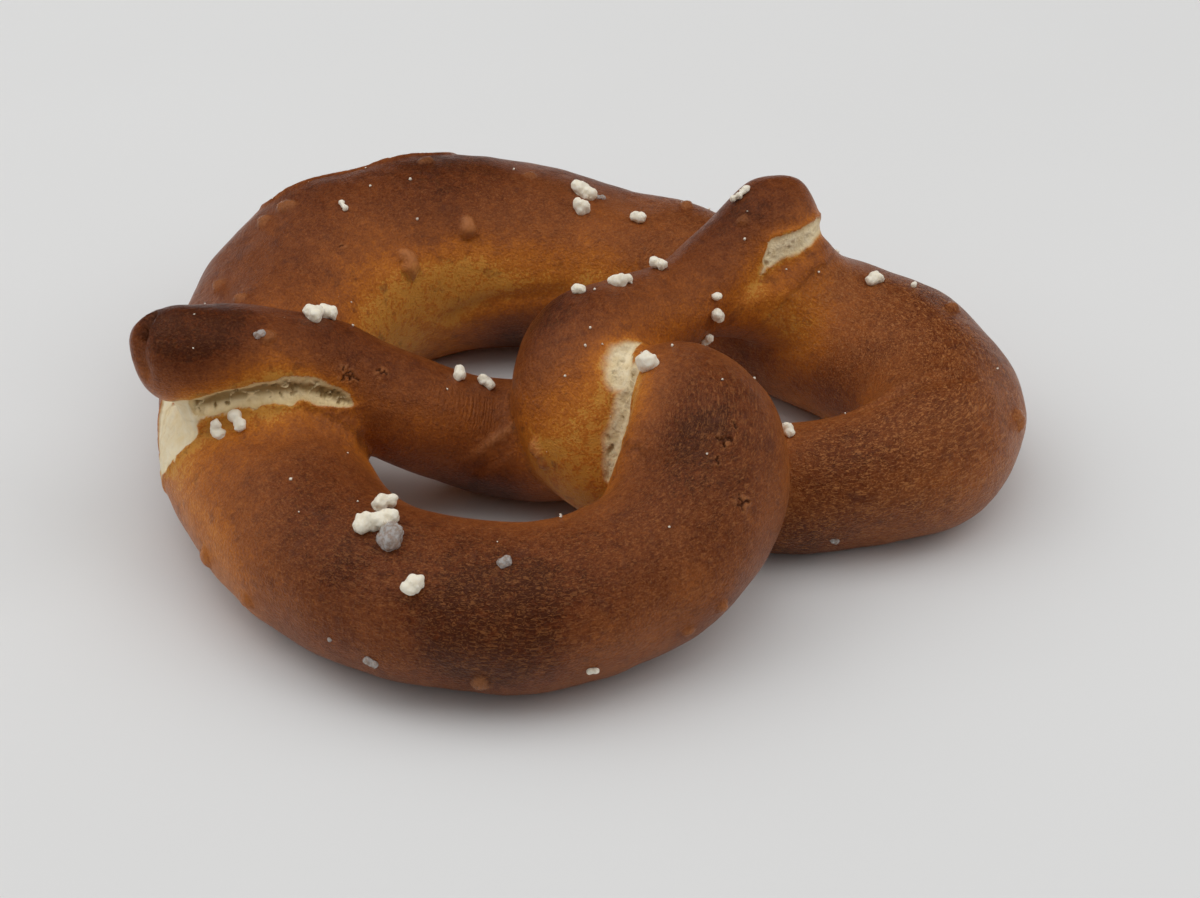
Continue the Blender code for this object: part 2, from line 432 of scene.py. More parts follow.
# dark burst cracks, and painted shade in the grooves of the deepest folds
CHAR_AND_FOLD_SHADE_COLOUR = (0.045, 0.011, 0.004)
CRUST_SHINE = (1.0, 0.56, 0.38, 1)  # the lamps' reflections are tinted by the brown skin

CRUMB_COLOURS = ((0.30, (0.93, 0.77, 0.47)), (0.70, (0.97, 0.87, 0.64)))
WARM_CRUMB_COLOUR = (0.96, 0.70, 0.31)
# painted shade for the crumb's cells and holes
SHADED_CRUMB_COLOUR = (0.29, 0.17, 0.05)

WHITE_SALT_COLOURS = ((0.3, (0.92, 0.82, 0.64)), (0.7, (0.97, 0.90, 0.76)))
CLEAR_SALT_COLOURS = ((0.40, (0.72, 0.58, 0.48)), (0.58, (0.96, 0.94, 0.90)))
FLOOR_COLOURS = ((0.3, (0.78, 0.78, 0.775)), (0.7, (0.80, 0.80, 0.795)))

# Heights of the fine relief (m)
CRUST_RELIEF = 0.00026
WHITE_SALT_RELIEF = 0.00012
CLEAR_SALT_RELIEF = 0.0003

# Soft lamps: name, direction from the pretzel, power (W)
LAMPS = (
    ("overhead", (0, 0, 1), 2.2),
    ("left", (-0.83, 0.56, 1), 2.1),
    ("right", (0.83, -0.56, 1), 2.4),
    ("back_left", (-0.27, 1.39, 1.4), 1.0),
)
LAMP_DISTANCE = 1.0  # m
LAMP_SIZE = 0.8  # m
TENT_STRENGTH = 0.42
TENT_FRONT = (-0.56, -0.83, 0)  # the way to the tent's open, darker front
FRONT_STRENGTH = 0.28
FRONT_EDGES = (0.25, 0.75)  # cosines from its middle where the front begins and is darkest

FLOOR_REACH = 3  # m, from the middle to each side

CAMERA_TURN = math.radians(-34)
CAMERA_RISE = math.radians(36)
CAMERA_DISTANCE = 0.490  # m
CAMERA_AIM = 0.015  # m above the floor
LENS = 85  # mm
SENSOR = 36  # mm


# ---- repeatable noise


def lattice_value(cells, seed):
    """A repeatable number from -1 to 1 for each row of three whole numbers."""
    mixed = cells[:, 0] * 374761393 + cells[:, 1] * 668265263 + cells[:, 2] * 144665
    mixed = (mixed + seed * 974634777) & 0xFFFFFFFF
    mixed = ((mixed ^ (mixed >> 13)) * 1274126177) & 0xFFFFFFFF
    mixed = ((mixed ^ (mixed >> 15)) * 2246822519) & 0xFFFFFFFF
    mixed = mixed ^ (mixed >> 16)
    return (mixed & 0xFFFF) / 32767.5 - 1


def noise(points, seed):
    """Smooth noise from -1 to 1 whose lumps are about one unit across."""
    cells = np.floor(points).astype(np.int64)
    inside = points - cells
    inside = inside * inside * (3 - 2 * inside)
    total = np.zeros(len(points))
    for corner in np.ndindex(2, 2, 2):
        weight = np.prod(np.where(corner, inside, 1 - inside), axis=1)
        total += weight * lattice_value(cells + corner, seed)
    return total


def fractal(points, seed, octaves=3):
    """Noise with finer and fainter noise laid over it."""
    return sum(noise(points * 2**n, seed + n) / 2**n for n in range(octaves))


def smoothstep(low, high, value):
    """0 up to low, 1 from high on, and a smooth ramp between them; low may be the larger of the two."""
    ramp = np.clip((value - low) / (high - low), 0, 1)
    return ramp * ramp * (3 - 2 * ramp)


# ---- the rope's geometry


def catmull_rom(stations, steps):
    """Rows read from a smooth curve through the stations, both end stations included."""
    table = np.array(stations, float)
    ahead = 2 * table[-1] - table[-2]
    behind = 2 * table[0] - table[1]
    padded = np.vstack([behind, table, ahead])
    rows = []
    for index in range(len(table) - 1):
        before, start, end, after = padded[index:index + 4]
        for t in np.arange(steps) / steps:
            rows.append(0.5 * (
                2 * start
                + (end - before) * t
                + (2 * before - 5 * start + 4 * end - after) * t**2
                + (3 * start - before - 3 * end + after) * t**3
            ))
    rows.append(table[-1])
    return np.array(rows)


def unit(vectors):
    """The vectors at length 1."""
    return vectors / np.maximum(np.linalg.norm(vectors, axis=-1, keepdims=True), 1e-9)


class Rope:
    """Rows along a rope, with the direction along, sideways and up at each."""

    def __init__(self, stations, steps):
        self.rows = catmull_rom(stations, steps)
        self.station = np.arange(len(self.rows)) / steps
        self.along = unit(np.gradient(self.rows[:, :3], axis=0))
        self.sideways = unit(np.cross(self.along, (0, 0, 1)))
        self.upward = np.cross(self.sideways, self.along)
        gaps = np.linalg.norm(np.diff(self.rows[:, :3], axis=0), axis=1)
        self.length = np.concatenate([[0], np.cumsum(gaps)])

    def rings(self, sides):
        """Rings of points round the rope, its rounded ends included."""
        rows, order = self.rows, np.arange(len(self.rows))
        turns = 0.5 * math.pi * np.arange(1, CAP_RINGS + 1) / (CAP_RINGS + 0.5)
        reach = CAP_REACH * rows[[0, -1], 4]
        first = rows[:1, :3] - self.along[:1] * reach[0] * np.sin(turns)[:, None]
        last = rows[-1:, :3] + self.along[-1:] * reach[1] * np.sin(turns)[:, None]
        centres = np.vstack([first[::-1], rows[:, :3], last])
        shrink = np.cos(turns)
        scale = np.concatenate([shrink[::-1], np.ones(len(rows)), shrink])
        source = np.concatenate([[0] * CAP_RINGS, order, [order[-1]] * CAP_RINGS])
        angle = np.arange(sides) * 2 * math.pi / sides
        wide = (rows[source, 3] * scale)[:, None, None] * np.cos(angle)[None, :, None]
        high = (rows[source, 4] * scale)[:, None, None] * np.sin(angle)[None, :, None]
        rings = centres[:, None] + wide * self.sideways[source, None] + high * self.upward[source, None]
        return rings, source

    def spot(self, station, angle):
        """A point on the rope's surface, at a station and an angle in degrees."""
        index = int(round(station * (len(self.rows) - 1) / self.station[-1]))
        turn = math.radians(angle)
        row = self.rows[index]
        return (
            row[:3]
            + self.sideways[index] * row[3] * math.cos(turn)
            + self.upward[index] * row[4] * math.sin(turn)
        )


def tube_faces(rings, sides, first_vertex):
    """Faces of a closed tube through rings of points, ends included."""
    faces = []
    for ring in range(rings - 1):
        start = first_vertex + ring * sides
        for side in range(sides):
            beside = (side + 1) % sides
            faces.append((start + side, start + beside, start + sides + beside, start + sides + side))
    faces.append([first_vertex + side for side in reversed(range(sides))])
    faces.append([first_vertex + (rings - 1) * sides + side for side in range(sides)])
    return faces


# ---- meshes as arrays


def mesh_object(name, points, faces):
    """A linked mesh object."""
    data = bpy.data.meshes.new(name)
    data.from_pydata([tuple(point) for point in points], [], [tuple(face) for face in faces])
    data.update()
    made = bpy.data.objects.new(name, data)
    bpy.context.scene.collection.objects.link(made)
    return made


def read_points(data):
    """The mesh's points, as rows of x, y, z."""
    flat = np.empty(len(data.vertices) * 3, np.float32)
    data.vertices.foreach_get("co", flat)
    return flat.reshape(-1, 3).astype(float)


def write_points(data, points):
    """Move the mesh's points."""
    data.vertices.foreach_set("co", points.astype(np.float32).ravel())
    data.update()


def read_normals(data):
    """The normal at each of the mesh's points."""
    flat = np.empty(len(data.vertices) * 3, np.float32)
    data.vertex_normals.foreach_get("vector", flat)
    return flat.reshape(-1, 3).astype(float)


def read_edges(data):
    """The mesh's edges, as rows of two point numbers."""
    flat = np.empty(len(data.edges) * 2, np.int32)
    data.edges.foreach_get("vertices", flat)
    return flat.reshape(-1, 2)


def relax(values, edges, rounds, factor=0.5):
    """Pull each point's values towards the mean of its neighbours' values."""
    values = np.array(values, float)
    columns = values.reshape(len(values), -1)
    both = np.concatenate([edges, edges[:, ::-1]])
    count = np.maximum(np.bincount(both[:, 0], minlength=len(values)), 1)
    for _ in range(rounds):
        for column in columns.T:
            total = np.bincount(both[:, 0], weights=column[both[:, 1]], minlength=len(values))
            column += factor * (total / count - column)
    return columns.reshape(values.shape)


def voxel_fused(thing, voxel):
    """Replace the object's mesh with one closed skin round everything in it."""
    remesh = thing.modifiers.new("fuse", "REMESH")
    remesh.mode = "VOXEL"
    remesh.voxel_size = voxel
    evaluated = thing.evaluated_get(bpy.context.evaluated_depsgraph_get())
    fused = bpy.data.meshes.new_from_object(evaluated)
    thing.modifiers.clear()
    thing.data = fused


def refine(thing, chosen):
    """Halve the edges between chosen points, and split the faces beside them."""
    mesh = bmesh.new()
    mesh.from_mesh(thing.data)
    mesh.verts.ensure_lookup_table()
    edges = [edge for edge in mesh.edges if chosen[edge.verts[0].index] and chosen[edge.verts[1].index]]
    bmesh.ops.subdivide_edges(mesh, edges=edges, cuts=1, use_grid_fill=True)
    crowded = [face for face in mesh.faces if len(face.verts) > 4]
    bmesh.ops.triangulate(mesh, faces=crowded)
    mesh.to_mesh(thing.data)
    mesh.free()
    thing.data.update()


def store(data, name, values):
    """Keep a number, or three, for each point, for the materials to read."""
    kind = "FLOAT" if values.ndim == 1 else "FLOAT_VECTOR"
    field = "value" if values.ndim == 1 else "vector"
    layer = data.attributes.new(name, kind, "POINT")
    layer.data.foreach_set(field, values.astype(np.float32).ravel())


# ---- where a point lies


def along_path(points, path):
    """For each point: the nearest place on the path, and the path's half width there."""
    path = np.array(path, float)
    if path.shape[1] == 3:
        path = np.column_stack([path, np.zeros(len(path))])
    best = np.full(len(points), np.inf)
    place = np.zeros((len(points), 3))
    width = np.zeros(len(points))
    for start, end in zip(path, path[1:]):
        step = end[:3] - start[:3]
        span = np.linalg.norm(step)
        t = np.clip((points - start[:3]) @ step / span**2, 0, 1)
        nearest = start[:3] + t[:, None] * step
        distance = np.linalg.norm(points - nearest, axis=1)
        closer = distance < best
        best[closer] = distance[closer]
        place[closer] = nearest[closer]
        width[closer] = (start[3] + t * (end[3] - start[3]))[closer]
    return place, width


def rope_places(points, rope):
    """For each point: its station, its angle, and its place along, beside and above the rope."""
    rings, source = rope.rings(SIDES // 2)
    tree = KDTree(rings.shape[0] * rings.shape[1])
    for number, point in enumerate(rings.reshape(-1, 3)):
        tree.insert(point, number)
    tree.balance()
    per_ring = rings.shape[1]
    index = np.array([source[tree.find(point)[1] // per_ring] for point in points])
    offset = points - rope.rows[index, :3]
    ahead = (offset * rope.along[index]).sum(axis=1)
    beside = (offset * rope.sideways[index]).sum(axis=1)
    above = (offset * rope.upward[index]).sum(axis=1)
    station = rope.station[index] + ahead / np.gradient(rope.length, rope.station)[index]
    angle = np.degrees(np.arctan2(above / rope.rows[index, 4], beside / rope.rows[index, 3]))
    place = np.stack([rope.length[index] + ahead, beside, above], axis=1)
    return station, angle, place


# ---- the crust


def shift_to_frame(rope):
    """The shift (mm) that puts the rope's box over the origin, as the CAD's is."""
    rings = rope.rings(SIDES)[0].reshape(-1, 3)
    middle = (rings.min(axis=0) + rings.max(axis=0)) / 2
    low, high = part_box("pretzel")
    cad_middle = (np.array(low) + np.array(high)) / 2 / MM
    return np.array([cad_middle[0] - middle[0], cad_middle[1] - middle[1], 0])


def fused_rope(rope):
    """The rope and its webs as one closed skin, in route millimetres."""
    points, faces = [], []
    for body, sides in [(rope, SIDES)] + [(Rope(web, WEB_STEPS), WEB_SIDES) for web in WEBS]:
        rings = body.rings(sides)[0]
        faces += tube_faces(len(rings), sides, sum(len(part) for part in points))
        points.append(rings.reshape(-1, 3))
    crust = mesh_object("pretzel_crust", np.vstack(points), faces)
    voxel_fused(crust, VOXEL)
    return crust


def shaped(points, edges):
    """The fused skin smoothed, melted together in places, and pushed at listed places."""
    for factor in SMOOTHING:
        points = relax(points, edges, 1, factor)
    points = relax(points, edges, 3)
    melt = np.zeros(len(points))
    for x, y, z, radius in MELTS:
        distance = np.linalg.norm(points - (x, y, z), axis=1) / radius
        melt = np.maximum(melt, smoothstep(1.0, 0.5, distance))
    soft = relax(points, edges, MELT_ROUNDS)
    points = points + melt[:, None] * (soft - points)
    for x, y, z, radius, *push in PUSHES:
        distance = np.linalg.norm(points - (x, y, z), axis=1) / radius
        points = points + np.exp(-(distance**2) * 1.5)[:, None] * push
    return points


def near_marks(points, rope, spots, margin):
    """Which points lie on or near a tear or one of the round marks."""
    near = np.zeros(len(points), bool)
    for tear in TEARS:
        place, width = along_path(points, tear.path)
        near |= np.linalg.norm(points - place, axis=1) < width * 1.2 + margin
    for station, angle, radius, *_ in spots:
        near |= np.linalg.norm(points - rope.spot(station, angle), axis=1) < radius * 1.4 + margin
    return near


class Crust:
    """The crust's points, with the marks worked into them."""

    def __init__(self, thing, rope):
        self.thing = thing
        self.rope = rope
        self.points = read_points(thing.data)
        self.normals = read_normals(thing.data)
        self.edges = read_edges(thing.data)
        self.station, self.angle, self.place = rope_places(self.points, rope)
        self.lift = np.zeros(len(self.points))
        self.crumb, self.crumb_shade, self.warm = np.zeros((3, len(self.points)))
        self.gold, self.char, self.pale = np.zeros((3, len(self.points)))

    def swell(self):
        """Dough's uneven swelling: broad lumps, then small ones."""
        for amount, breadth, seed in SWELLS:
            self.lift += amount * fractal(self.points / breadth, seed, 2)

    def fold(self, width, depth, paleness, path):
        """Press one fold in, between two rounded edges."""
        place = along_path(self.points, path)[0]
        distance = np.linalg.norm(self.points - place, axis=1) / width
        self.lift -= depth * (np.exp(-(distance**2) * 1.8) - 0.08 * np.exp(-((distance - 1.8) ** 2) * 2))
        self.pale = np.maximum(self.pale, paleness * np.exp(-(distance**2)))
        # a negative paleness darkens the fold's groove with painted shade, in the char colour
        self.char = np.maximum(self.char, -paleness * np.exp(-(distance**2) * 1.5))

    def tear(self, tear, seed):
        """Open one tear: crumb between its two edges of crust."""
        place, width = along_path(self.points, tear.path)
        offset = self.points - place
        distance = np.linalg.norm(offset, axis=1)
        side = offset @ unit(np.array(tear.lip, float)) / np.maximum(width, 0.3)
        lipped = smoothstep(-0.4, 0.4, side)

        # the torn patch, with a ragged edge
        ragged = 0.20 * fractal(self.points / 2.6, seed, 2) + 0.05 * noise(self.points / 0.6, seed + 7)
        edge = distance - width * (1 + ragged)
        blur = 0.12 + tear.fade * width * (1 - lipped)
        mask = smoothstep(0.4, -1.0, edge / blur)
        inner = smoothstep(0, -0.8, edge / np.maximum(width, 0.3))

        # long hollows between thin strands, small round holes, and the bowl they lie in
        cell = np.abs(noise(self.points / (3.4, 2.0, 1.1), seed + 21))
        cell = smoothstep(0.02, 0.12, cell + 0.05 * noise(self.points / 0.7, seed + 22)) * inner
        cell *= 1 - 0.9 * smoothstep(0.0, 0.4, side)
        holes = smoothstep(0.42, 0.66, fractal(self.points / 0.85, seed + 31, 2)) * inner
        bowl = inner * (0.65 - 0.35 * np.clip(side, -1, 1))
        fibre = 0.12 * fractal(self.points / 0.9, seed + 41, 2)
        deepest = 1 - 0.6 * tear.cells + 0.6 * tear.cells * cell
        self.lift += mask * (fibre - 0.15 - tear.depth * bowl * deepest)
        self.lift -= 0.5 * holes * mask * min(1, tear.cells * 1.5)
        self.lift += 0.34 * np.exp(-((edge - 0.3) / 0.42) ** 2) * lipped * (width > 0.4)

        # its colours: cream crumb with painted shade in its cells and holes, less on the lip's side,
        # darker and warmer towards the margin, golden crust round it
        self.crumb = np.maximum(self.crumb, mask)
        # painted shade: the cells and holes darkened, less on the lip's side
        dark = np.maximum(cell * tear.cells, holes * min(1, 2 * tear.cells))
        dark *= 1 - 0.6 * lipped * (side > 0.5)
        margin = 0.35 * smoothstep(-1.1, 0.1, edge)
        self.crumb_shade = np.maximum(self.crumb_shade, np.maximum(dark, margin) * mask)
        self.warm = np.maximum(self.warm, (margin + 0.7 * tear.cells) * mask)
        away = np.maximum(edge, 0)
        gold = 0.5 * np.exp(-away / tear.halo) + 0.5 * np.exp(-away / 0.7)
        self.gold = np.maximum(self.gold, gold * (1 - 0.3 * lipped))

    def blister(self, station, angle, radius, height, stretch, seed):
        """Raise one blister, drawn out down the slope, with a thin pale skin."""
        spot = self.rope.spot(station, angle)
        nearest = np.argmin(np.linalg.norm(self.points - spot, axis=1))
        normal = self.normals[nearest]
        down = unit(DOWNWARD - normal * (normal @ DOWNWARD))
        across = np.cross(normal, down)
        offset = self.points - self.points[nearest]
        fall = offset @ down / (radius * stretch)
        wide = offset @ across / (radius * (1 + 0.3 * np.clip(fall, -1, 1)))
        deep = offset @ normal / (radius * 1.5)
        distance = np.sqrt(fall**2 + wide**2 + deep**2) + 0.22 * fractal(self.points / 1.3, seed, 2)
        dome = np.clip(1 - distance**2, 0, 1) ** 0.8 * (1 + 0.35 * np.clip(fall, -1, 1))
        self.lift += height * dome
        self.pale = np.maximum(self.pale, smoothstep(0.0, 0.6, dome) * min(1, 0.7 * height))

    def burst(self, station, angle, radius, cracks, seed):
        """Crack the crust open in a few short strokes at one small spot."""
        rng = np.random.default_rng(seed)
        spot = self.rope.spot(station, angle)
        nearest = np.argmin(np.linalg.norm(self.points - spot, axis=1))
        centre, normal = self.points[nearest], self.normals[nearest]
        around = self.points - centre
        near = smoothstep(1.5, 0.7, np.linalg.norm(around, axis=1) / radius)
        crack = np.zeros(len(self.points))
        turn = rng.uniform(0, 2 * math.pi)
        flat = unit(np.cross(normal, (0.3, 0.2, 1)))
        other = np.cross(normal, flat)
        for number in range(cracks):
            turn += 2 * math.pi / cracks * rng.uniform(0.7, 1.3)
            heading = flat * math.cos(turn) + other * math.sin(turn)
            bend = np.cross(normal, heading) * rng.uniform(-0.35, 0.35) * radius
            start = centre + heading * radius * rng.uniform(0.0, 0.25)
            end = centre + heading * radius * rng.uniform(0.7, 1.1)
            place = along_path(self.points, (start, (start + end) / 2 + bend, end))[0]
            distance = np.linalg.norm(self.points - place, axis=1) + 0.12 * noise(self.points / 0.4, seed)
            crack = np.maximum(crack, smoothstep(0.22, 0.06, distance))
        rim = near * (1 - crack) * smoothstep(-0.2, 0.5, noise(self.points / 0.6, seed + 3))
        self.lift += 0.10 * near - 0.35 * crack + 0.10 * rim
        self.char = np.maximum(self.char, crack)
        self.pale = np.maximum(self.pale, 0.7 * rim)

    def settle(self):
        """Move the points by their lift, and lay the underside flat."""
        self.points = self.points + self.normals * self.lift[:, None]
        self.points[:, 2] = np.maximum(self.points[:, 2], 0)
        write_points(self.thing.data, self.points)
        self.normals = read_normals(self.thing.data)

    def bake(self):
        """How brown each point is: most on top, least towards the holes and beside the tears, with painted
        shade in a few spots under strands by the holes.
        """
        top = relax(np.maximum(self.normals[:, 2], 0), self.edges, 8)
        loops = smoothstep(7, 9, self.station) * smoothstep(28, 26, self.station)
        brown = 0.40 + 0.30 * smoothstep(0.3, 1, top) - 0.17 * loops * np.cos(np.radians(self.angle))
        brown += np.interp(self.station, BAKE_STATIONS, BAKE_SHIFT)
        for station, angle, radius, shift in SPOTS:
            distance = np.linalg.norm(self.points - self.rope.spot(station, angle), axis=1) / radius
            brown += shift * np.exp(-(distance**2))
        brown = relax(brown, self.edges, 24) + 0.08 * fractal(self.points / 12, 41, 3)
        brown = BROWN_MIDDLE[1] + BROWN_CONTRAST * (brown - BROWN_MIDDLE[0])
        return np.clip(brown - 0.50 * self.gold, 0, 1)

    def wrinkled(self):
        """How wrinkled each point's skin is."""
        amount = np.ones(len(self.points))
        for value, (low, most, high) in zip((self.station, self.angle), WRINKLES):
            amount *= smoothstep(low, most, value) * smoothstep(high, most, value)
        return amount


def make_crust(rope, shift):
    """The whole crust with its tears, folds, blisters and burst marks."""
    thing = fused_rope(rope)
    write_points(thing.data, shaped(read_points(thing.data), read_edges(thing.data)))
    for spots, margin in ((BLISTERS + BURSTS, FINE_BORDER), (BURSTS, FINER_BORDER)):
        refine(thing, near_marks(read_points(thing.data), rope, spots, margin))
    crust = Crust(thing, rope)
    crust.swell()
    for fold in FOLDS:
        crust.fold(*fold)
    for tear, seed in zip(TEARS, itertools.count(*TEAR_SEEDS)):
        crust.tear(tear, seed)
    for blister, seed in zip(BLISTERS, itertools.count(*BLISTER_SEEDS)):
        crust.blister(*blister, seed)
    for burst, seed in zip(BURSTS, itertools.count(*BURST_SEEDS)):
        crust.burst(*burst, seed)
    crust.settle()
    for name, values in (
        ("brown", crust.bake()),
        ("crumb", crust.crumb),
        ("crumb_shade", crust.crumb_shade),
        ("warm", crust.warm),
        ("char", crust.char),
        ("pale", crust.pale),
        ("wrinkle", crust.wrinkled()),
        ("fleck", np.interp(crust.station, FLECK_STATIONS, FLECKS)),
        ("rope", crust.place),
    ):
        store(thing.data, name, values)
    write_points(thing.data, (crust.points + shift) * MM)
    thing.data.shade_smooth()
    return thing, crust


# ---- materials


class Shader:
    """Adds nodes to a material, linking sockets and setting plain values."""

    def __init__(self, name):
        self.material = bpy.data.materials.new(name)
        self.material.use_nodes = True
        self.tree = self.material.node_tree
        self.surface = self.tree.nodes["Principled BSDF"]

    def put(self, socket, value):
        """Give a socket a value, or link it to another node's output."""
        if isinstance(value, bpy.types.NodeSocket):
            self.tree.links.new(value, socket)
        else:
            socket.default_value = value

    def add(self, kind, inputs=(), **settings):
        """A new node with its settings and inputs."""
        node = self.tree.nodes.new(kind)
        for name, value in settings.items():
            setattr(node, name, value)
        for name, value in dict(inputs).items():
            self.put(node.inputs[name], value)
        return node

    def attribute(self, name, output="Fac"):
        """What the mesh keeps for each point under that name."""
        return self.add("ShaderNodeAttribute", attribute_name=name).outputs[output]

    def math(self, operation, first, second=0.0, third=0.0, clamp=False):
        """One arithmetic step."""
        node = self.add("ShaderNodeMath", operation=operation, use_clamp=clamp)
        for socket, value in zip(node.inputs, (first, second, third)):
            self.put(socket, value)
        return node.outputs[0]

    def noise(self, vector, scale, detail=3.0, rough=0.55, warp=0.0):
        """Fractal noise from 0 to 1."""
        inputs = {"Vector": vector, "Scale": scale, "Detail": detail, "Roughness": rough}
        return self.add("ShaderNodeTexNoise", inputs | {"Distortion": warp}).outputs[0]

    def stretched(self, vector, scale):
        """A vector scaled by x, y and z."""
        return self.add("ShaderNodeMapping", {"Vector": vector, "Scale": scale}).outputs[0]

    def ramp(self, value, stops):
        """A colour read from stops of (place, colour)."""
        node = self.add("ShaderNodeValToRGB", {"Fac": value})
        elements = node.color_ramp.elements
        while len(elements) < len(stops):
            elements.new(0.5)
        for element, (place, colour) in zip(elements, stops):
            element.position = place
            element.color = (*colour, 1)
        return node.outputs["Color"]

    def mix(self, amount, first, second):
        """A colour between two."""
        node = self.add("ShaderNodeMix", data_type="RGBA", clamp_factor=True)
        self.put(node.inputs["Factor"], amount)
        for name, value in (("A", first), ("B", second)):
            socket = [s for s in node.inputs if s.name == name and s.type == "RGBA"][0]
            self.put(socket, (*value, 1) if isinstance(value, tuple) else value)
        return [s for s in node.outputs if s.type == "RGBA"][0]

    def millimetres(self):
        """The object's own coordinates, in millimetres."""
        return self.stretched(self.add("ShaderNodeTexCoord").outputs["Object"], (1 / MM, 1 / MM, 1 / MM))

    def swing(self, value, noise, amount):
        """The value swung up and down by a noise that runs from 0 to 1."""
        return self.math("MULTIPLY_ADD", self.math("SUBTRACT", noise, 0.5), amount, value)

    def bump(self, height, distance, strength=1.0):
        """Fine relief on the surface's normal."""
        inputs = {"Height": height, "Distance": distance, "Strength": strength}
        self.put(self.surface.inputs["Normal"], self.add("ShaderNodeBump", inputs).outputs[0])


def crust_material():
    """Lye crust from golden to almost black, and cream crumb where it tore."""
    make = Shader("baked_crust")
    rope = make.attribute("rope", "Vector")
    place = make.millimetres()
    wrinkle = make.attribute("wrinkle")
    crumb = make.attribute("crumb")
    pale = make.attribute("pale")

    blotch = make.noise(place, 0.13, 4)
    mottle = make.noise(place, 0.55, 3, 0.6)
    fibre = make.noise(make.stretched(rope, (0.55, 1.0, 1.0)), 2.7, 3, 0.65, 1.2)
    pebble = make.noise(place, 2.2, 3, 0.65)
    crimp = make.noise(make.stretched(rope, (1.0, 0.10, 0.10)), 1.5, 2, 0.5)
    scorch = make.ramp(make.noise(place, 0.33, 3), ((0.60, (0, 0, 0)), (0.72, (1, 1, 1))))

    brown = make.attribute("brown")
    brown = make.swing(brown, blotch, 0.30)
    brown = make.swing(brown, mottle, 0.45)
    brown = make.swing(brown, pebble, 0.55)
    brown = make.math("MULTIPLY_ADD", make.math("MULTIPLY", crimp, wrinkle), -0.20, brown)
    crust = make.ramp(brown, CRUST_COLOURS)
    fleck = make.ramp(fibre, ((0.49, (0, 0, 0)), (0.66, (1, 1, 1))))
    crust = make.mix(make.math("MULTIPLY", fleck, make.attribute("fleck")), crust, FLECK_COLOUR)
    crust = make.mix(make.math("MULTIPLY", scorch, 0.45), crust, SCORCH_COLOUR)
    crust = make.mix(make.math("MULTIPLY", pale, 0.65), crust, THIN_SKIN_COLOUR)
    # dark burst cracks, and painted shade in the deep folds
    crust = make.mix(make.math("MULTIPLY", make.attribute("char"), 0.75), crust, CHAR_AND_FOLD_SHADE_COLOUR)

    cream = make.ramp(make.noise(place, 0.5, 4), CRUMB_COLOURS)
    cream = make.mix(make.math("MULTIPLY", make.attribute("warm"), 0.7), cream, WARM_CRUMB_COLOUR)
    # painted shade in the crumb's cells and holes, and a darker margin
    cream = make.mix(make.math("MULTIPLY", make.attribute("crumb_shade"), 0.9), cream, SHADED_CRUMB_COLOUR)
    make.put(make.surface.inputs["Base Color"], make.mix(crumb, crust, cream))

    rough = make.math("MULTIPLY_ADD", mottle, 0.22, 0.23)
    rough = make.math("MULTIPLY_ADD", pale, -0.12, rough)
    rough = make.math("MULTIPLY_ADD", crumb, 0.30, rough, clamp=True)
    make.put(make.surface.inputs["Roughness"], rough)
    make.surface.inputs["IOR"].default_value = 1.45
    make.surface.inputs["Specular IOR Level"].default_value = 0.5
    make.surface.inputs["Specular Tint"].default_value = CRUST_SHINE
    height = make.math("MULTIPLY_ADD", pebble, 0.6, mottle)
    height = make.math("MULTIPLY_ADD", fibre, 0.5, height)
    height = make.math("MULTIPLY_ADD", make.math("MULTIPLY", crimp, wrinkle), 2.0, height)
    make.bump(height, CRUST_RELIEF)
    return make.material


def white_salt_material():
    """White baking salt, matt and slightly see-through."""
    make = Shader("white_salt")
    place = make.millimetres()
    colour = make.ramp(make.noise(place, 1.4, 4), WHITE_SALT_COLOURS)
    make.put(make.surface.inputs["Base Color"], colour)
    make.surface.inputs["Roughness"].default_value = 0.55
    make.surface.inputs["Subsurface Weight"].default_value = 0.25
    make.surface.inputs["Subsurface Radius"].default_value = (0.002, 0.002, 0.0018)
    make.surface.inputs["Subsurface Scale"].default_value = 0.5
    make.bump(make.noise(place, 3.0, 4), WHITE_SALT_RELIEF)
    return make.material


def clear_salt_material():
    """Salt that stayed clear, wet-looking and cracked inside."""
    make = Shader("clear_salt")
    colour = make.ramp(make.noise(make.millimetres(), 1.3, 3), CLEAR_SALT_COLOURS)
    make.put(make.surface.inputs["Base Color"], colour)
    make.surface.inputs["Roughness"].default_value = 0.25
    make.surface.inputs["Transmission Weight"].default_value = 0.6
    make.surface.inputs["IOR"].default_value = 1.5
    make.bump(make.noise(make.millimetres(), 1.6, 3), CLEAR_SALT_RELIEF)
    return make.material


# ---- salt


def ball(centre, radii, seed):
    """A knobbly ball: points and faces."""
    mesh = bmesh.new()
    bmesh.ops.create_icosphere(mesh, subdivisions=3, radius=1)
    points = np.array([vertex.co for vertex in mesh.verts])
    faces = [[vertex.index for vertex in face.verts] for face in mesh.faces]
    mesh.free()
    points *= (1 + 0.22 * fractal(points * 1.6 + seed, seed, 2))[:, None]
    return points * radii + centre, faces


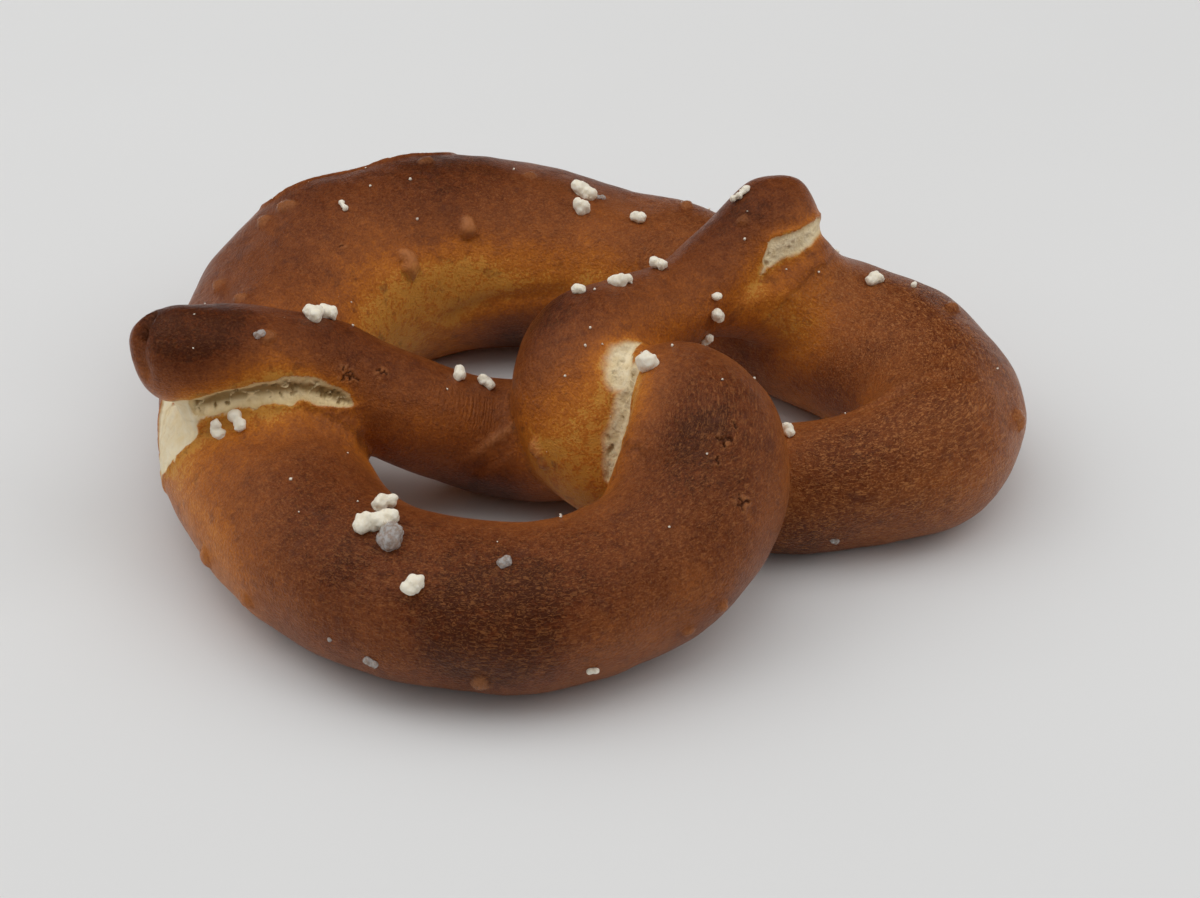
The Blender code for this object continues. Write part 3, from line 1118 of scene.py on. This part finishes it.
def salt_lumps(grains, crust, tree, sink):
    """Points and faces of grains, each a cluster of knobbly balls lying on the crust."""
    all_points, all_faces, used = [], [], 0
    for station, angle, length, width, lumps in grains:
        rng = np.random.default_rng(int(station * 100) + int(angle) + SALT_SEED)
        spot, normal, _, _ = tree.find_nearest(Vector(crust.rope.spot(station, angle)))
        normal = np.array(normal)
        flat = unit(np.cross(normal, rng.normal(size=3)))
        other = np.cross(normal, flat)
        for lump in range(lumps):
            t = (lump + 0.5) / lumps - 0.5
            size = width * rng.uniform(0.75, 1.05)
            centre = (
                np.array(spot)
                + flat * t * (length - width * 0.6)
                + other * rng.uniform(-0.2, 0.2) * width
                + normal * (rng.uniform(0.16, 0.36) * width - sink)
            )
            points, faces = ball(centre, size * rng.uniform(0.36, 0.52, 3), int(rng.integers(1, 9999)))
            all_points.append(points)
            all_faces += [[used + corner for corner in face] for face in faces]
            used += len(points)
    return np.vstack(all_points), all_faces


def salt_dust():
    """Strewn specks, as rows like those of the salt grains."""
    rng = np.random.default_rng(DUST_SEED)
    station = rng.uniform(0, len(ROUTE) - 1, DUST_COUNT)
    angle = rng.normal(*DUST_ANGLES, DUST_COUNT)
    size = rng.uniform(*DUST_SIZES, DUST_COUNT)
    return tuple(zip(station, angle, size, size, [1] * DUST_COUNT))


def make_salt(name, grains, crust, shift, sink):
    """All the grains of one kind as one mesh."""
    faces = [tuple(face.vertices) for face in crust.thing.data.polygons]
    tree = BVHTree.FromPolygons([tuple(point) for point in crust.points], faces)
    salt = mesh_object(name, *salt_lumps(grains, crust, tree, sink))
    voxel_fused(salt, SALT_VOXEL)
    points = read_points(salt.data)
    points += read_normals(salt.data) * (0.10 * fractal(points / 0.8, 77, 2))[:, None]
    write_points(salt.data, (points + shift) * MM)
    salt.data.shade_smooth()
    return salt


# ---- stage


def make_floor():
    """A plain pale floor."""
    corners = [(x * FLOOR_REACH, y * FLOOR_REACH, 0) for x, y in ((-1, -1), (1, -1), (1, 1), (-1, 1))]
    floor = mesh_object("floor", corners, [(0, 1, 2, 3)])
    make = Shader("pale_floor")
    place = make.add("ShaderNodeTexCoord").outputs["Object"]
    colour = make.ramp(make.noise(place, 6, 3), FLOOR_COLOURS)
    make.put(make.surface.inputs["Base Color"], colour)
    make.surface.inputs["Roughness"].default_value = 0.7
    make.surface.inputs["Specular IOR Level"].default_value = 0.2
    floor.data.materials.append(make.material)


def add_lamp(name, place, aim, size, power):
    """A square soft lamp aimed at a point."""
    lamp = bpy.data.lights.new(name, "AREA")
    lamp.shape = "SQUARE"
    lamp.size = size
    lamp.energy = power
    made = bpy.data.objects.new(name, lamp)
    made.location = place
    made.rotation_euler = (Vector(aim) - Vector(place)).to_track_quat("-Z", "Y").to_euler()
    bpy.context.scene.collection.objects.link(made)


def make_lights():
    """Soft lamps in a pale light tent with a darker front; nothing mirrors the tent itself."""
    for name, direction, power in LAMPS:
        place = Vector(direction).normalized() * LAMP_DISTANCE
        add_lamp(name, place, (0, 0, 0), LAMP_SIZE, power)
    world = bpy.data.worlds.new("tent")
    world.use_nodes = True
    nodes, links = world.node_tree.nodes, world.node_tree.links
    background = nodes["Background"]
    background.inputs["Color"].default_value = (1, 1, 1, 1)
    facing = nodes.new("ShaderNodeVectorMath")
    facing.operation = "DOT_PRODUCT"
    facing.inputs[1].default_value = TENT_FRONT
    links.new(nodes.new("ShaderNodeTexCoord").outputs["Generated"], facing.inputs[0])
    wall = nodes.new("ShaderNodeMapRange")
    for socket, value in (
        ("From Min", FRONT_EDGES[0]),
        ("From Max", FRONT_EDGES[1]),
        ("To Min", TENT_STRENGTH),
        ("To Max", FRONT_STRENGTH),
    ):
        wall.inputs[socket].default_value = value
    links.new(facing.outputs["Value"], wall.inputs["Value"])
    links.new(wall.outputs["Result"], background.inputs["Strength"])
    bpy.context.scene.world = world
    world.cycles_visibility.glossy = False


def make_camera(shift):
    """The camera, from the front left and above."""
    back = Vector((
        math.sin(CAMERA_TURN) * math.cos(CAMERA_RISE),
        -math.cos(CAMERA_TURN) * math.cos(CAMERA_RISE),
        math.sin(CAMERA_RISE),
    ))
    target = Vector((shift[0] * MM, shift[1] * MM, CAMERA_AIM))
    camera = bpy.data.cameras.new("camera")
    camera.lens = LENS
    camera.sensor_width = SENSOR
    made = bpy.data.objects.new("camera", camera)
    made.location = target + back * CAMERA_DISTANCE
    made.rotation_euler = (-back).to_track_quat("-Z", "Y").to_euler()
    bpy.context.scene.collection.objects.link(made)
    bpy.context.scene.camera = made


def dress(thing, material):
    """Give a piece its material and say what it belongs to."""
    thing.data.materials.clear()
    thing.data.materials.append(material)
    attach(thing, "root")


rope = Rope(ROUTE, STEPS)
shift = shift_to_frame(rope)
make_camera(shift)
make_lights()
make_floor()

pretzel, crust = make_crust(rope, shift)
dress(pretzel, crust_material())
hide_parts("pretzel")
white_salt = make_salt("white_salt_grains", WHITE_SALT + salt_dust(), crust, shift, sink=0.0)
dress(white_salt, white_salt_material())
clear_salt = make_salt("clear_salt_grains", CLEAR_SALT, crust, shift, sink=0.35)
dress(clear_salt, clear_salt_material())

bpy.context.scene.view_settings.view_transform = "Standard"
bpy.context.view_layer.update()
